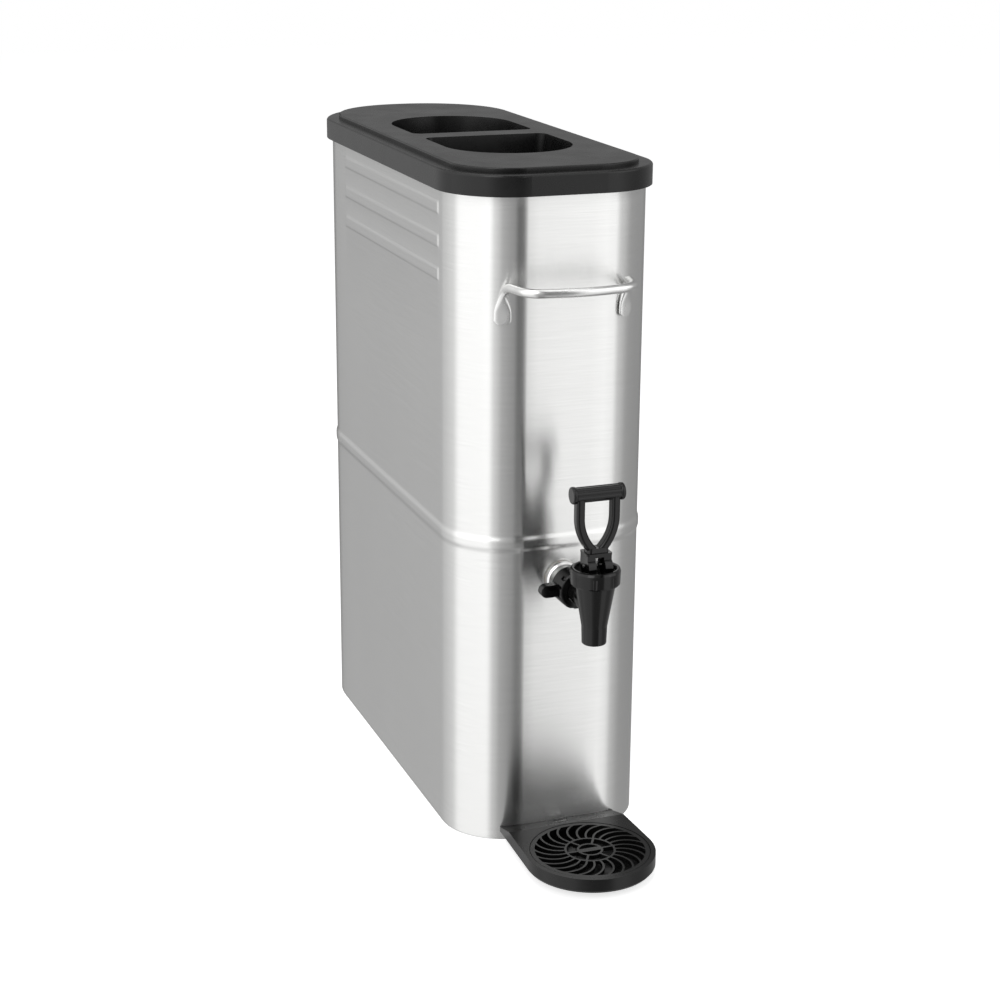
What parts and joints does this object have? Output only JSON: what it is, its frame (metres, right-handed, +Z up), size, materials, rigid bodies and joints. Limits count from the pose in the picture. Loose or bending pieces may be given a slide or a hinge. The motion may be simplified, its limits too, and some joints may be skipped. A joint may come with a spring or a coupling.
{
  "type": "iced tea dispenser",
  "caption": "Tall narrow stainless iced tea dispenser with a lift-off black lid, a wire handle, a spring-closed lever tap with a wing nut, and a hook-on drip tray with a round grille.",
  "frame": {"origin": "under the middle of the bounding box, on the surface the dispenser stands on", "axes": "+Z up; the front, with the tap and tray, faces -Y; +X is to the right seen from the front"},
  "size_m": [0.159, 0.4968, 0.4985],
  "materials": {
    "body_shell": "fine horizontal brushing",
    "tank_floor": "fine horizontal brushing",
    "front_handle": "fine horizontal brushing",
    "tap_boss": "fine horizontal brushing",
    "wall_gasket": "moulded silicone",
    "inner_washer": "moulded silicone",
    "shank_locknut": "fine horizontal brushing",
    "tail_gasket": "moulded silicone",
    "tap_body": "moulded, satin",
    "tail_ring": "fine horizontal brushing",
    "bonnet": "moulded, satin",
    "bonnet_seal": "moulded silicone",
    "tray_bracket": "fine horizontal brushing",
    "tap_spring": "fine horizontal brushing",
    "stem": "fine horizontal brushing",
    "stem_collar": "fine horizontal brushing",
    "seat_cup": "moulded silicone",
    "handle_pin": "fine horizontal brushing",
    "tap_handle": "moulded, satin",
    "wing_nut": "moulded, satin",
    "lid": "moulded, satin",
    "drip_tray": "moulded, satin",
    "tray_grille": "moulded, satin"
  },
  "bodies": {
    "root": {"body_shell": "body_shell", "tank_floor": "tank_floor", "front_handle": "front_handle", "tap_boss": "tap_boss", "wall_gasket": "wall_gasket", "inner_washer": "inner_washer", "shank_locknut": "shank_locknut", "tail_gasket": "tail_gasket", "tap_body": "tap_body", "tail_ring": "tail_ring", "bonnet": "bonnet", "bonnet_seal": "bonnet_seal", "tray_bracket": "tray_bracket", "tap_spring": "tap_spring"},
    "stem": {"stem": "stem", "stem_collar": "stem_collar", "seat_cup": "seat_cup", "handle_pin": "handle_pin"},
    "handle": {"tap_handle": "tap_handle"},
    "wing_nut": {"wing_nut": "wing_nut"},
    "lid": {"lid": "lid"},
    "tray": {"drip_tray": "drip_tray"},
    "grille": {"tray_grille": "tray_grille"}
  },
  "joints": [
    {"name": "lid_lift", "type": "slide", "parent": "root", "child": "lid", "axis": [0, 0, 1], "range_m": [0, 0.06]},
    {"name": "stem_lift", "type": "slide", "parent": "root", "child": "stem", "axis": [0, 0, 1], "range_m": [0, 0.0031], "stiffness_N_per_m": 2000, "springref_m": -0.001, "deforming": ["tap_spring"]},
    {"name": "handle_tilt", "type": "hinge", "parent": "stem", "child": "handle", "pos_m": [0, -0.20005, 0.2326], "axis": [1, 0, 0], "range_deg": [0, 40]},
    {"name": "wing_nut_turn", "type": "hinge", "parent": "root", "child": "wing_nut", "pos_m": [0, -0.16105, 0.2025], "axis": [0, -1, 0], "range_deg": [0, 360]},
    {"name": "tray_lift", "type": "slide", "parent": "root", "child": "tray", "axis": [0, 0, 1], "range_m": [0, 0.03]},
    {"name": "grille_lift", "type": "slide", "parent": "tray", "child": "grille", "axis": [0, 0, 1], "range_m": [0, 0.03]}
  ],
  "couplings": [
    {"joint": "handle_tilt", "follows": "stem_lift", "rad_per_m": 222.22}
  ]
}
